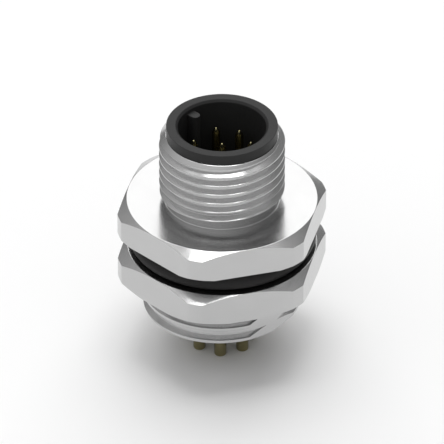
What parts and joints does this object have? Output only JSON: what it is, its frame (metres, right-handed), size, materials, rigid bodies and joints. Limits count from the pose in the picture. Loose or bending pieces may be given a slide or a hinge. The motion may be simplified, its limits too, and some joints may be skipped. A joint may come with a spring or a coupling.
{
  "type": "circular connector receptacle",
  "caption": "Panel-mount circular connector with a threaded sleeve, a keyed cup of round contacts, a hexagon flange, a seal ring, a clamping nut and solder tails.",
  "frame": {"origin": "on the connector's axis, in the plane of the solder tails' tips", "axes": "+Z along the axis, out of the mating face; +Y towards the coding key; a corner of the hexagon also points along +Y"},
  "size_m": [0.0182, 0.0204, 0.0248],
  "materials": {
    "plated_brass": "turned and milled brass with a satin nickel plate",
    "black_plastic": "moulded black polyamide, slightly satin",
    "seal_rubber": "smooth black rubber cord",
    "contact_gold": "turned contacts with a thin gold plate"
  },
  "bodies": {
    "connector_body": {"housing": "plated_brass", "contact_carrier": "black_plastic", "contact_retainer": "black_plastic", "carrier_seal": "seal_rubber", "panel_seal": "seal_rubber", "pin_1": "contact_gold", "pin_2": "contact_gold", "pin_3": "contact_gold", "pin_4": "contact_gold", "pin_5": "contact_gold", "pin_6": "contact_gold", "pin_7": "contact_gold", "pin_8": "contact_gold"},
    "nut": {"hex_nut": "plated_brass"}
  },
  "joints": [
    {"name": "nut_travel", "type": "slide", "parent": "connector_body", "child": "nut", "axis": [0, 0, -1], "range_m": [0, 0.00705]}
  ]
}
